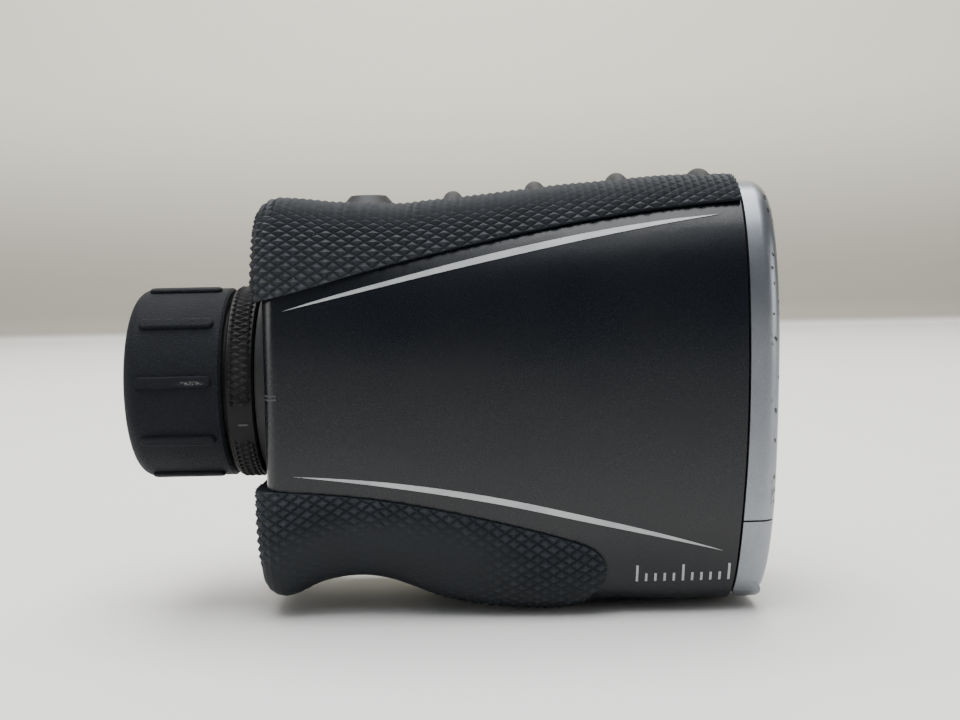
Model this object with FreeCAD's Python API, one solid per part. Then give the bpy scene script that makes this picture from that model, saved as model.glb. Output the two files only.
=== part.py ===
import FreeCAD, Part
import math
import os
from FreeCAD import Vector, Rotation, Placement

# A hand-held laser rangefinder: a vertical two-half shell with an eyepiece at the rear,
# a silver lens bezel at the front, soft grips above and below, and a battery door.
# Millimetres. +X points at the target, +Y to the user's left, +Z up. The origin is the
# centre of the tripod bush's mouth, in the middle of the pad that the body stands on.

# ---- shell ----
body_rear = -53.0            # rear face of the shell
body_front = 38.3            # shell's front edge at the top
body_width = 50.0            # across the widest part of the sides
body_height = 83.6           # top of the shell at the front, above the pad
flank_taper = 2.0            # how much narrower each side is at the rear
top_round = 3.2              # exponent of the section above the waist
bottom_round = 4.5           # and below it
rear_round = 3.2             # rounding of the rear edge
wall = 2.6                   # shell wall
joint_gap = 0.08             # between two fixed pieces that are assembled

# ---- soft grips ----
grip_proud = 0.7             # grip surface above the shell surface
grip_proud_rear = 2.0        # the same at the rear face
grip_depth = 1.0             # how far the grip is let into the shell
pad_radius = 10.5            # flat pad round the tripod bush
ridge_height = 2.0
ridge_width = 4.0
ridge_length = 24.0
ridge_count = 4
ridge_first = -16.8
ridge_pitch = 16.5

# ---- bezel, front frame and battery door ----
bezel_reach = 6.2            # bezel's front face ahead of the shell's front edge
bezel_round = 3.2
bezel_rim = 4.4              # rim around the front opening
bezel_bar = 2.8              # top of the bar between the opening and the door
seam_gap = 0.45              # shadow gap between the shell and the bezel
door_height = 18.2           # top of the door
door_gap = 0.35
door_wall = 2.0
hinge_x = 38.7
hinge_z = 3.6
hinge_pin_radius = 0.8
hinge_running = 0.05
knuckle_radius = 2.5
knuckle_length = 5.0
knuckle_place = 9.5          # middle of each door knuckle, either side
ear_radius = 1.7
ear_width = 2.6
side_play = 0.25             # free space beside a moving piece
frame_rear = 33.0
arm_start = 2.8              # hinge arms leave the shell this far behind its front edge
screw_radius = 1.0
screw_head_radius = 1.9
screw_head_height = 1.2

# ---- optics ----
sight_z = 62.0
sight_radius = 12.5
receive_z = 35.3
receive_radius = 11.5
emitter_y = 14.2
emitter_z = 48.5
emitter_radius = 2.6
lens_seat = 1.2              # seat ledge behind each lens
lens_rim = 2.2               # lens boss round each lens
lens_recess = 2.6            # lens boss face behind the bezel's front face
lens_depth = 4.4             # bore in front of the seat
lens_edge = 2.0
lens_bulge = 1.2
retainer_lift = 0.4          # the retainer's lip sits this far up the lens's dome
eyepiece_z = 45.0

# ---- eyepiece ----
tube_radius = 16.0
tube_wall = 1.9
tube_rear = -74.5
collar_radius = 18.0
spigot_radius = 17.0
ring_front = -55.4
ring_rear = -60.8
ring_radius = 19.45
focus_travel = 0.8           # lens cell travel each way
focus_pin_radius = 0.7
running = 0.05               # radial clearance of every running fit
cup_front = -61.6
cup_rear = -80.7
cup_radius = 19.05
cup_rim_radius = 17.4
cup_rib_count = 10
cup_rib_first = 175.5        # degrees about +X from +Y to the first rib
cup_rib_width = 2.2
cup_rib_height = 0.7
cup_rib_front = -63.3
cup_rib_rear = -77.8
guide_wall = 0.95
sleeve_wall = 0.85
guide_length = 12.0
eye_lens_radius = 12.2
field_lens_radius = 10.5

# ---- controls ----
fire_x = -33.9
fire_base_radius = 5.3
fire_top_radius = 3.6
fire_height = 2.4
fire_straight = 0.5          # straight foot above the grip, below the cone
fire_sunk = 0.5              # foot below the grip's face
fire_travel = 0.6
fire_stem_radius = 2.4
button_gap = 0.3
side_button_x = -8.0
side_button_z = 48.0
side_button_pitch = 15.0
side_button_radius = 4.6
side_button_proud = 1.0
side_travel = 0.8

# ---- power ----
cell_radius = 5.25           # AAA cell
cell_length = 44.5
cell_front = 33.6
cell_y = 12.1                # the two cells lie either side of the tripod bush
cell_z = 11.4
cell_play = 0.3
tray_wall = 0.9

# ---- tripod bush, 1/4-20 UNC ----
thread_radius = 3.175
bush_radius = 5.0
bush_length = 7.0
bush_flange_radius = 6.6
bush_flange = 1.2

# ---- strap bar ----
strap_z = 11.5
strap_slot_height = 8.0
strap_slot_width = 13.0
strap_slot_depth = 6.5
strap_bar_radius = 1.25

# The outlines below are drawn at this size and follow the shell when it is stretched.
drawn_front = 38.3
drawn_rear = -53.0
drawn_height = 83.6


def stretch_x(x):
    if x > 0:
        return x * body_front / drawn_front
    return x * body_rear / drawn_rear


def stretch_z(z):
    return z * body_height / drawn_height


# x, underside and top of the shell at each station
stations = [(-58.0, 4.6, 80.9), (-53.0, 4.2, 80.8), (-50.2, 3.6, 80.7), (-46.5, 5.3, 80.4),
            (-41.5, 7.0, 79.8), (-35.5, 7.6, 79.1), (-29.5, 6.6, 78.9), (-23.0, 4.1, 79.5),
            (-15.0, 2.2, 80.2), (-5.0, 0.9, 81.2), (8.0, 0.75, 82.4), (22.0, 0.7, 83.4),
            (34.0, 0.8, 83.6), (42.0, 0.9, 83.5), (50.0, 1.0, 83.4)]

# lower edge of the upper grip, rear to front
upper_edge = [(-60.0, 60.4), (-53.8, 61.5), (-45.4, 63.4), (-36.0, 66.0), (-17.2, 70.6),
              (1.6, 74.5), (20.3, 77.4), (29.6, 78.4), (42.0, 79.0)]

# upper edge of the lower grip, then its rounded front end and its slant to the underside
lower_edge = [(-60.0, 26.2), (-52.6, 25.7), (-39.0, 24.7), (-23.9, 22.5), (-8.9, 19.1),
              (5.3, 15.0), (9.6, 12.7), (11.2, 9.6), (9.6, 6.2), (5.6, 2.6), (2.0, -6.0)]

# centre line and width of the two inlaid stripes
upper_stripe = [(-48.9, 59.6, 0.0), (-39.7, 61.95, 0.6), (-26.5, 65.1, 0.95), (-15.3, 67.7, 1.2),
                (-4.1, 70.1, 1.3), (7.1, 72.3, 1.2), (18.3, 74.2, 0.9), (33.9, 76.2, 0.0)]
lower_stripe = [(-47.6, 28.5, 0.0), (-38.8, 27.75, 0.5), (-27.6, 26.45, 0.95), (-16.3, 24.7, 1.15),
                (-5.0, 22.5, 1.2), (6.2, 19.85, 1.15), (17.5, 17.1, 0.9), (33.2, 12.8, 0.0)]

# shell's front edge and the bezel's front face: z, set back from the topmost point
seam_line = [(95.0, 0.0), (48.0, 0.2), (31.0, 0.8), (18.0, 1.8), (4.0, 2.9), (-8.0, 3.6)]
face_line = [(95.0, 0.3), (72.0, 0.0), (50.0, 0.0), (36.0, 0.4), (17.6, 1.4), (5.8, 2.6), (-8.0, 4.2)]

far = 120.0


def export(name, shape):
    shape.exportStep("parts/" + name + ".step")


def half_width(x):
    middle = 4.0
    return body_width / 2 - flank_taper * ((x - middle) / (body_rear - middle)) ** 2


def station_at(x):
    rows = [(stretch_x(s), stretch_z(low), stretch_z(high)) for s, low, high in stations]
    for a, b in zip(rows, rows[1:]):
        if a[0] <= x <= b[0]:
            t = (x - a[0]) / (b[0] - a[0])
            return a[1] + t * (b[1] - a[1]), a[2] + t * (b[2] - a[2])


def top_at(x):
    return station_at(x)[1]


def outline(wide, half, steps=40):
    """Points round a rounded-box outline, wide to each side and half up and down."""
    points = []
    for i in range(steps):
        a = 2 * math.pi * i / steps - math.pi / 2
        n = top_round if math.sin(a) > 0 else bottom_round
        y = math.copysign(abs(math.cos(a)) ** (2 / n), math.cos(a))
        z = math.copysign(abs(math.sin(a)) ** (2 / n), math.sin(a))
        points.append((wide * y, half * z))
    return points


def spacing():
    """Distances round the outline, shared by every section so that the loft stays simple."""
    points = outline(body_width / 2, body_height / 2)
    marks = [0.0]
    for a, b in zip(points, points[1:] + points[:1]):
        marks.append(marks[-1] + math.dist(a, b))
    return marks


def section(x, low, high, inset):
    middle = (low + high) / 2
    points = outline(half_width(x) - inset, (high - low) / 2 - inset)
    curve = Part.BSplineCurve()
    curve.interpolate([Vector(x, y, middle + z) for y, z in points], PeriodicFlag=True, Parameters=spacing())
    return Part.Wire([curve.toShape()])


def form(inset, rear):
    """The body's outer form moved in by inset, with its rear face at rear."""
    wires = []
    for x, low, high in stations:
        x = stretch_x(x)
        wires.append(section(x, stretch_z(low), stretch_z(high), inset))
    body = Part.makeLoft(wires, True, False)
    body = body.common(box(rear, far, -far, far, -far, far))
    edges = [e for e in body.Edges if abs(e.BoundBox.XMax - rear) < 1e-3]
    return body.makeFillet(max(rear_round - inset, 0.8), edges)


def box(x0, x1, y0, y1, z0, z1):
    return Part.makeBox(x1 - x0, y1 - y0, z1 - z0, Vector(x0, y0, z0))


def rod(radius, x0, x1, y=0.0, z=0.0):
    return Part.makeCylinder(radius, x1 - x0, Vector(x0, y, z), Vector(1, 0, 0))


def post(radius, z0, z1, x=0.0, y=0.0):
    return Part.makeCylinder(radius, z1 - z0, Vector(x, y, z0), Vector(0, 0, 1))


def cross_rod(radius, y0, y1, x, z):
    return Part.makeCylinder(radius, y1 - y0, Vector(x, y0, z), Vector(0, 1, 0))


def turned(outline, z, y=0.0):
    """A ring or a lens about an axis along X from (x, radius) points."""
    points = [Vector(x, y, z + r) for x, r in outline]
    face = Part.Face(Part.makePolygon(points + points[:1]))
    return face.revolve(Vector(0, y, z), Vector(1, 0, 0), 360)


def side_prism(edges):
    """A prism along Y over an outline in the XZ plane."""
    face = Part.Face(Part.Wire(edges))
    face.translate(Vector(0, -far, 0))
    return face.extrude(Vector(0, 2 * far, 0))


def line_xz(points):
    vectors = [Vector(x, 0, z) for x, z in points]
    return [Part.makeLine(a, b) for a, b in zip(vectors, vectors[1:])]


def spline_xz(points):
    curve = Part.BSplineCurve()
    curve.interpolate([Vector(x, 0, z) for x, z in points])
    return curve.toShape()


def zone(points, limit):
    """Everything between a drawn line and the height limit."""
    points = [(stretch_x(x), stretch_z(z)) for x, z in points]
    first, last = points[0], points[-1]
    edges = [spline_xz(points)]
    edges += line_xz([last, (last[0], limit), (first[0], limit), first])
    return side_prism(edges)


def ahead_of(line, start, offset):
    """Everything forward of a shaped line that starts at x = start."""
    points = [(start - back + offset, stretch_z(z)) for z, back in line]
    first, last = points[0], points[-1]
    edges = [spline_xz(points)]
    edges += line_xz([last, (far, last[1]), (far, first[1]), first])
    return side_prism(edges)


def blade(points):
    upper = [(stretch_x(x), stretch_z(z) + w / 2) for x, z, w in points]
    lower = [(stretch_x(x), stretch_z(z) - w / 2) for x, z, w in points]
    return side_prism([spline_xz(upper), spline_xz(lower[::-1])])


def half(side):
    """The space on one side of the middle plane: -1 right, +1 left."""
    return box(-far, far, min(0, side) * far, max(0, side) * far, -far, far)


def spread(count, first=0.0):
    return [first + 360.0 * i / count for i in range(count)]


def about_x(shape, degrees, z):
    copy = shape.copy()
    copy.rotate(Vector(0, 0, z), Vector(1, 0, 0), degrees)
    return copy


# ---------------------------------------------------------------- shell and grips

outer = form(0.0, body_rear)
grip_outer = form(-grip_proud, body_rear - grip_proud_rear)
grip_bed = form(grip_depth, body_rear + grip_depth)
inner = form(wall, body_rear + wall)
top_zone = zone(upper_edge, far)
bottom_zone = zone(lower_edge, -far)
front_of_shell = ahead_of(seam_line, body_front, 0.0)
eyepiece_hole = rod(spigot_radius + joint_gap, -far, 0, 0, eyepiece_z)
fire_z = top_at(fire_x) + grip_proud
side_buttons = [(side_button_x - side_button_pitch / 2, "down_button"),
                (side_button_x + side_button_pitch / 2, "up_button")]
side_y = half_width(side_button_x)
strap_x = body_rear + 2.6


def pad():
    return post(pad_radius, 0.0, stretch_z(stations[9][1]) + grip_depth + 0.4)


def strap_slot():
    return box(body_rear - 5, body_rear + strap_slot_depth, -strap_slot_width / 2, strap_slot_width / 2,
               strap_z - strap_slot_height / 2, strap_z + strap_slot_height / 2)


def shell():
    panels = outer.cut(top_zone).cut(bottom_zone)
    whole = grip_bed.fuse(panels).cut(inner)
    whole = whole.cut(front_of_shell).cut(eyepiece_hole).cut(pad().cut(grip_bed))
    fire_hole = post(fire_stem_radius + button_gap, fire_z - 12, far, fire_x)
    whole = whole.cut(fire_hole)
    boss = post(bush_flange_radius + 2.4, grip_depth + 0.6, bush_length - bush_flange)
    boss = boss.cut(post(bush_radius + joint_gap, -1, bush_length))
    boss_floor = boss.common(grip_bed)
    whole = whole.fuse(boss_floor).cut(post(bush_radius + joint_gap, -1, bush_length))
    strap_walls = box(body_rear + grip_depth, body_rear + strap_slot_depth + wall,
                      -strap_slot_width / 2 - wall, strap_slot_width / 2 + wall,
                      strap_z - strap_slot_height / 2 - wall, strap_z + strap_slot_height / 2 + wall)
    whole = whole.fuse(strap_walls.common(grip_bed)).cut(strap_slot())
    bar_hole = cross_rod(strap_bar_radius, -strap_slot_width / 2 - wall + 0.6,
                         strap_slot_width / 2 + wall - 0.6, strap_x, strap_z)
    whole = whole.cut(bar_hole)
    for prism in (blade(upper_stripe), blade(lower_stripe)):
        whole = whole.cut(prism.common(outer.cut(stripe_bed)))
    for x, name in side_buttons:
        whole = whole.cut(cross_rod(side_button_radius + button_gap, 0, far, x, side_button_z))
    return whole


stripe_bed = form(0.5, body_rear + 0.5)
stripe_top = form(-0.12, body_rear - 0.12)


def stripes(outline, side):
    skin = stripe_top.cut(stripe_bed)
    return skin.common(blade(outline)).common(half(side))


def ridge(x):
    """A smooth bar across the top, highest in the middle and sinking in at both ends."""
    reach = ridge_length / 2
    surface = top_at(x) + grip_proud
    thick = (ridge_width ** 2 / 4 + ridge_height ** 2) / (2 * ridge_height)
    drop = ridge_height + grip_proud + 0.8
    bend = (reach ** 2 + drop ** 2) / (2 * drop) - thick
    centre = Vector(x, 0, surface + ridge_height - thick - bend)
    bar = Part.makeTorus(bend, thick, centre, Vector(1, 0, 0))
    return bar.common(box(x - far, x + far, -reach - 3, reach + 3, surface - 8, far)).cut(grip_bed)


def top_grip():
    skin = grip_outer.cut(grip_bed).common(top_zone).cut(front_of_shell)
    skin = skin.cut(post(fire_base_radius + button_gap, 0, far, fire_x))
    skin = skin.cut(rod(collar_radius + button_gap, -far, 0, 0, eyepiece_z))
    for i in range(ridge_count):
        skin = skin.fuse(ridge(stretch_x(ridge_first + i * ridge_pitch)))
    return skin


def bottom_grip():
    skin = grip_outer.cut(grip_bed).common(bottom_zone).cut(front_of_shell)
    skin = skin.cut(strap_slot())
    skin = skin.fuse(pad().cut(grip_bed))
    return skin.cut(post(bush_radius + joint_gap, -far, far))



# ---------------------------------------------------------------- fasteners


def cross(depth, size):
    """A cross recess in the origin's XY plane, cut downwards."""
    bar = box(-size, size, -size / 4, size / 4, -depth, depth)
    return bar.fuse(box(-size / 4, size / 4, -size, size, -depth, depth))


def screw(length, shank=screw_radius, head=screw_head_radius):
    """Head below the origin's XY plane, shank on down."""
    body = post(head, -screw_head_height, 0).fuse(post(shank, -length, -screw_head_height))
    return body.cut(cross(screw_head_height * 0.6, head * 0.6))


def aimed(shape, position, direction):
    """A shape whose +Z is turned to direction, at position."""
    copy = shape.copy()
    copy.Placement = Placement(position, Rotation(Vector(0, 0, 1), direction))
    return copy


def group(shapes):
    return Part.makeCompound(shapes)


# ---------------------------------------------------------------- bezel and door


def nose():
    """The silver front end, before it is split into the bezel and the door."""
    block = outer.common(ahead_of(seam_line, body_front, seam_gap))
    face = ahead_of(face_line, body_front + bezel_reach, 0.0)
    block = block.cut(face)
    edges = [e for e in block.Edges if e.BoundBox.XMin > body_front + seam_gap + 0.4]
    return block.makeFillet(bezel_round, edges)


bezel_screw_y = half_width(body_front) - bezel_rim - screw_head_radius + 1.4
bezel_screws_at = [(side * bezel_screw_y, z) for side in (-1, 1) for z in (28.0, 60.0)]
arm_low = hinge_z + 0.4
lens_face_x = body_front + bezel_reach - lens_recess
frame_line_gap = seam_gap - joint_gap


def bezel(block):
    opening = form(bezel_rim, body_rear + wall).common(box(0, far, -far, far, door_height + bezel_bar, far))
    shape = block.cut(opening)
    for y, z in bezel_screws_at:
        boss = rod(screw_radius + 1.2, frame_rear, lens_face_x, y, z)
        shape = shape.fuse(boss.common(ahead_of(seam_line, body_front, seam_gap)))
    for y, z in bezel_screws_at:
        shape = shape.cut(rod(screw_radius, frame_rear, lens_face_x - 1.0, y, z))
    return shape.common(box(0, far, -far, far, door_height + door_gap, far))


def ear_span(side, extra=0.0):
    """The frame's ear stands just outboard of the door's knuckle."""
    start = knuckle_place + knuckle_length / 2 + side_play
    low, high = sorted((side * start, side * (start + ear_width)))
    return low - extra, high + extra


def door(block):
    shape = block.common(box(0, far, -far, far, -far, door_height))
    hollow = form(door_wall, body_rear + wall).common(box(0, far, -far, far, -far, door_height - door_wall))
    shape = shape.cut(hollow.cut(ahead_of(face_line, body_front + bezel_reach, -door_wall)))
    shape = shape.cut(box(0, hinge_x, -far, far, -far, hinge_z))
    roll = cross_rod(knuckle_radius, -far, far, hinge_x, hinge_z)
    shape = shape.fuse(roll.common(outer))
    for side in (-1, 1):
        y0, y1 = ear_span(side, side_play)
        shape = shape.cut(cross_rod(knuckle_radius + 2 * side_play, y0, y1, hinge_x, hinge_z))
    return shape.cut(cross_rod(hinge_pin_radius + hinge_running, -ear_end, ear_end, hinge_x, hinge_z))


def hinge_pins():
    pins = []
    for side in (-1, 1):
        ends = [side * (knuckle_place - knuckle_length / 2), side * (ear_end - 0.4)]
        pins.append(cross_rod(hinge_pin_radius, min(ends), max(ends), hinge_x, hinge_z))
    return group(pins)


ear_end = knuckle_place + knuckle_length / 2 + side_play + ear_width
door_face_x = body_front + bezel_reach - door_wall - 2.6
contact_x = door_face_x - 0.6


def door_contacts():
    """One strap across the door's inside, with a pressed dome for each cell."""
    strap = box(contact_x, door_face_x - 0.1, -cell_y - 3.5, cell_y + 3.5, cell_z - 3.0, cell_z + 3.0)
    for side in (-1, 1):
        dome = turned([(contact_x, 0), (contact_x, 3.0), (cell_front + 2.2, 2.0), (cell_front + 0.3, 0)],
                      cell_z, side * cell_y)
        strap = strap.fuse(dome)
    return strap


def door_seal():
    """A flat gasket on the front frame round the battery opening."""
    low, high = 6.3, door_height - 0.6
    plate = box(frame_rear, far, -19.0, 19.0, low, high)
    plate = plate.cut(box(0, far, -17.9, 17.9, low + 0.9, high - 0.9))
    slab = ahead_of(seam_line, body_front, 0.12).cut(ahead_of(seam_line, body_front, 0.42))
    return plate.common(slab)


# ---------------------------------------------------------------- front frame and optics

front_lenses = [("sight", 0.0, sight_z, sight_radius), ("receive", 0.0, receive_z, receive_radius),
                ("emitter", emitter_y, emitter_z, emitter_radius)]


def front_frame():
    """The plate behind the bezel: lens bosses, the battery opening and the door's ears."""
    fitted = form(wall + joint_gap, body_rear + wall)
    room = fitted.common(box(0, body_front - arm_start, -far, far, -far, far))
    room = room.fuse(box(body_front - arm_start, far, -far, far, -far, far))
    plug = fitted.common(box(frame_rear, far, -far, far, -far, far))
    upper = plug.cut(ahead_of(seam_line, body_front, frame_line_gap))
    lower = plug.cut(front_of_shell)
    split = box(0, far, -far, far, door_height + door_gap, far)
    shape = upper.common(split).fuse(lower.cut(split))
    for name, y, z, radius in front_lenses:
        shape = shape.fuse(rod(radius + lens_rim, frame_rear, lens_face_x, y, z))
    for name, y, z, radius in front_lenses:
        seat = lens_face_x - lens_depth
        shape = shape.cut(rod(radius + joint_gap, seat, far, y, z))
        shape = shape.cut(rod(radius - min(lens_seat, radius / 4), 0, far, y, z))
    for side in (-1, 1):
        shape = shape.cut(rod(cell_radius + cell_play, 0, far, side * cell_y, cell_z))
    for y, z in bezel_screws_at:
        shape = shape.cut(rod(screw_radius, 0, far, y, z))
    for side in (-1, 1):
        y0, y1 = ear_span(side)
        ear = cross_rod(ear_radius, y0, y1, hinge_x, hinge_z)
        arm = box(frame_rear + 1, hinge_x, y0, y1, arm_low, hinge_z + ear_radius)
        shape = shape.fuse(ear.fuse(arm.common(room)))
        shape = shape.cut(cross_rod(hinge_pin_radius, y0 - 1, y1 - 0.4 if side > 0 else y1 + 1,
                                    hinge_x, hinge_z))
    return shape


def bezel_screws():
    one = screw(lens_face_x - 1.3 - frame_rear + screw_head_height)
    shapes = []
    for y, z in bezel_screws_at:
        shapes.append(aimed(one, Vector(frame_rear - screw_head_height, y, z), Vector(-1, 0, 0)))
    return group(shapes)


def lens(radius, rear, front, bulge_rear, bulge_front, z, y=0.0):
    """A round lens: rear and front are its edges, and each bulge is the rise at its middle."""
    disc = rod(radius, rear - bulge_rear, front + bulge_front, y, z)
    for edge, bulge, way in ((rear, bulge_rear, 1), (front, bulge_front, -1)):
        if bulge:
            ball = (radius ** 2 + bulge ** 2) / (2 * bulge)
            disc = disc.common(Part.makeSphere(ball, Vector(edge + way * (ball - bulge), y, z)))
    return disc


def front_lens(y, z, radius):
    seat = lens_face_x - lens_depth
    return lens(radius, seat, seat + lens_edge, 0.0, min(lens_bulge, radius / 7), z, y)


def front_retainer(y, z, radius):
    start = lens_face_x - lens_depth + lens_edge + retainer_lift
    return turned([(start, radius + joint_gap), (start, radius - 0.8), (lens_face_x - 1.2, radius - 0.8),
                   (lens_face_x - 0.5, radius - 0.2), (lens_face_x - 0.5, radius + joint_gap)], z, y)


sight_tube_rear = 8.0
prism_front = 6.0
prism_rear = -25.5
prism_half = 11.5
prism_low = eyepiece_z - 12.0
prism_high = sight_z + 11.5
shield = 1.0
display_front = prism_rear - 2.0


def sight_barrel():
    return turned([(frame_rear, sight_radius - 1.2), (frame_rear, sight_radius + 0.4),
                   (sight_tube_rear, sight_radius - 2.0), (sight_tube_rear, sight_radius - 3.2)], sight_z)


def receive_barrel():
    return turned([(frame_rear, receive_radius - 1.2), (frame_rear, receive_radius + 0.2),
                   (12.0, 4.8), (12.0, 3.8)], receive_z)


def prism_housing():
    """A closed frame round the two prisms, with a window at the front and one at the rear."""
    shape = box(prism_rear, prism_front, -prism_half, prism_half, prism_low, prism_high)
    shape = shape.cut(box(prism_rear + shield, prism_front - shield, -prism_half + shield,
                          prism_half - shield, prism_low + shield, prism_high - shield))
    shape = shape.cut(rod(8.0, prism_front - 2 * shield, far, 0, sight_z))
    return shape.cut(rod(8.0, -far, prism_rear + 2 * shield, 0, eyepiece_z))


def prisms():
    """Two wedges that step the line of sight down from the objective to the eyepiece."""
    low, high = prism_low + shield + 0.3, prism_high - shield - 0.3
    front, rear = prism_front - shield - 0.3, prism_rear + shield + 0.3
    middle = (front + rear) / 2
    y = prism_half - shield - 0.3
    first = [(front, high), (front, sight_z - 9.0), (middle + 0.4, low + 6.0), (middle + 0.4, high)]
    second = [(rear, low), (rear, eyepiece_z + 9.0), (middle - 0.4, high - 6.0), (middle - 0.4, low)]
    shapes = []
    for outline in (first, second):
        prism = side_prism(line_xz(outline + outline[:1]))
        shapes.append(prism.common(box(-far, far, -y, y, -far, far)))
    return group(shapes)


def display():
    """The see-through reticle display and its frame."""
    frame = box(display_front - 2.4, display_front, -11, 11, eyepiece_z - 11, eyepiece_z + 11)
    return frame.cut(rod(7.5, -far, far, 0, eyepiece_z))


def display_glass():
    return rod(7.5 - joint_gap, display_front - 1.7, display_front - 0.7, 0, eyepiece_z)


def laser_module():
    seat = frame_rear - 0.3
    body = rod(emitter_radius + 0.6, 18.0, seat, emitter_y, emitter_z)
    return body.fuse(rod(emitter_radius - 0.4, 15.0, 18.0, emitter_y, emitter_z))


def detector():
    return rod(4.2, 8.6, 11.7, 0, receive_z).fuse(rod(2.6, 7.2, 8.6, 0, receive_z))


def receiver_board():
    return box(6.2, 7.2, -10.0, 10.0, 23.0, prism_low - 0.5).fuse(
        box(6.2, 7.2, -10.0, 10.0, prism_low - 0.6, receive_z + 8.0))


def main_board():
    return box(-40.0, 13.0, board_y, board_y + 1.2, 24.0, 66.0)


def board_chips():
    low = board_y - 1.0
    return group([box(-34, -22, low, board_y, 40, 52), box(-16, -9, low, board_y, 28, 35),
                  box(0, 6, low, board_y, 50, 58)])


board_y = 14.6

# ---------------------------------------------------------------- eyepiece

spigot_front = body_rear + wall + 0.2
groove_rear = -61.3
groove_front = ring_rear
clip_depth = 0.6
ring_groove = focus_travel + focus_pin_radius + 0.15
pin_x = (ring_front + ring_rear) / 2
pin_tip = tube_radius + 1.3
bore_radius = tube_radius - tube_wall


def eyepiece_tube():
    """Collar on the shell's rear face, spigot through it, and the tube that everything rides on."""
    shape = turned([(spigot_front, bore_radius), (spigot_front, spigot_radius), (body_rear, spigot_radius),
                    (body_rear, collar_radius), (ring_front + 0.15, collar_radius),
                    (ring_front + 0.15, tube_radius), (tube_rear, tube_radius), (tube_rear, bore_radius)],
                   eyepiece_z)
    clip_groove = turned([(groove_front, tube_radius - clip_depth), (groove_front, far / 2),
                          (groove_rear, far / 2), (groove_rear, tube_radius - clip_depth)], eyepiece_z)
    shape = shape.cut(clip_groove)
    reach = focus_travel + focus_pin_radius + 0.1
    for angle in spread(3, 90.0):
        slot = box(pin_x - reach, pin_x + reach, -focus_pin_radius - running, focus_pin_radius + running,
                   eyepiece_z, eyepiece_z + far)
        shape = shape.cut(about_x(slot, angle, eyepiece_z))
    return shape


def diopter_ring():
    groove = pin_tip + 0.15
    inner_r = tube_radius + running
    edge = 0.5
    outline = [(ring_front, inner_r), (ring_front, ring_radius - edge), (ring_front - edge, ring_radius),
               (ring_rear + edge, ring_radius), (ring_rear, ring_radius - edge), (ring_rear, inner_r),
               (pin_x - ring_groove, inner_r), (pin_x - ring_groove, groove),
               (pin_x + ring_groove, groove), (pin_x + ring_groove, inner_r)]
    return turned(outline, eyepiece_z)


def ring_clip():
    clip = turned([(groove_front - 0.05, tube_radius - clip_depth), (groove_front - 0.05, tube_radius + 1.2),
                   (groove_rear + 0.05, tube_radius + 1.2), (groove_rear + 0.05, tube_radius - clip_depth)],
                  eyepiece_z)
    return clip.cut(box(-far, 0, -2.0, 2.0, 0, eyepiece_z))


cell_outer = bore_radius - running
cell_inner = eye_lens_radius + joint_gap
lens_cell_front = -53.5
lens_cell_rear = -73.6


def lens_cell():
    """The sliding cell: the eye lens at its rear, the field lens at its front."""
    lip = 0.7
    shape = turned([(lens_cell_front, field_lens_radius + joint_gap), (lens_cell_front, cell_outer),
                    (lens_cell_rear, cell_outer), (lens_cell_rear, cell_inner),
                    (lens_cell_rear + 4.4, cell_inner), (lens_cell_rear + 4.4, cell_inner - lip - 1.4),
                    (lens_cell_front - 4.0, cell_inner - lip - 1.4),
                    (lens_cell_front - 4.0, field_lens_radius - lip),
                    (lens_cell_front - 3.2, field_lens_radius - lip),
                    (lens_cell_front - 3.2, field_lens_radius + joint_gap)], eyepiece_z)
    for angle in spread(3, 90.0):
        hole = post(focus_pin_radius, eyepiece_z + cell_outer - 1.1, far, pin_x)
        shape = shape.cut(about_x(hole, angle, eyepiece_z))
    return shape


def focus_pins():
    pin = post(focus_pin_radius, eyepiece_z + cell_outer - 1.1, eyepiece_z + pin_tip, pin_x)
    return group([about_x(pin, angle, eyepiece_z) for angle in spread(3, 90.0)])


def eye_lens():
    seat = lens_cell_rear + 4.4
    return lens(eye_lens_radius, seat - 2.4, seat, 1.0, 0.0, eyepiece_z)


def eye_retainer():
    start = lens_cell_rear + 1.8
    return turned([(start, cell_inner), (start, cell_inner - 0.8), (lens_cell_rear + 0.3, cell_inner - 0.3),
                   (lens_cell_rear + 0.3, cell_inner)], eyepiece_z)


def field_lens():
    seat = lens_cell_front - 3.2
    return lens(field_lens_radius, seat, seat + 2.2, 0.0, 0.8, eyepiece_z)


def cup_guide():
    """The ring that turns on the tube and carries the eyecup out."""
    inner_r = tube_radius + running
    return turned([(cup_front - 0.5, inner_r), (cup_front - 0.5, inner_r + guide_wall),
                   (cup_front - 0.5 - guide_length, inner_r + guide_wall),
                   (cup_front - 0.5 - guide_length, inner_r)], eyepiece_z)


sleeve_inner = tube_radius + 2 * running + guide_wall
sleeve_outer = sleeve_inner + sleeve_wall
cup_floor = tube_rear - 0.8
cup_mouth = eye_lens_radius + 0.8


def cup_sleeve():
    """Hard sleeve inside the rubber, with a lip that closes the end of the tube."""
    return turned([(cup_front, sleeve_inner), (cup_front, sleeve_outer), (cup_floor - 1.0, sleeve_outer),
                   (cup_floor - 1.0, cup_mouth), (cup_floor, cup_mouth), (cup_floor, sleeve_inner)],
                  eyepiece_z)


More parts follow.
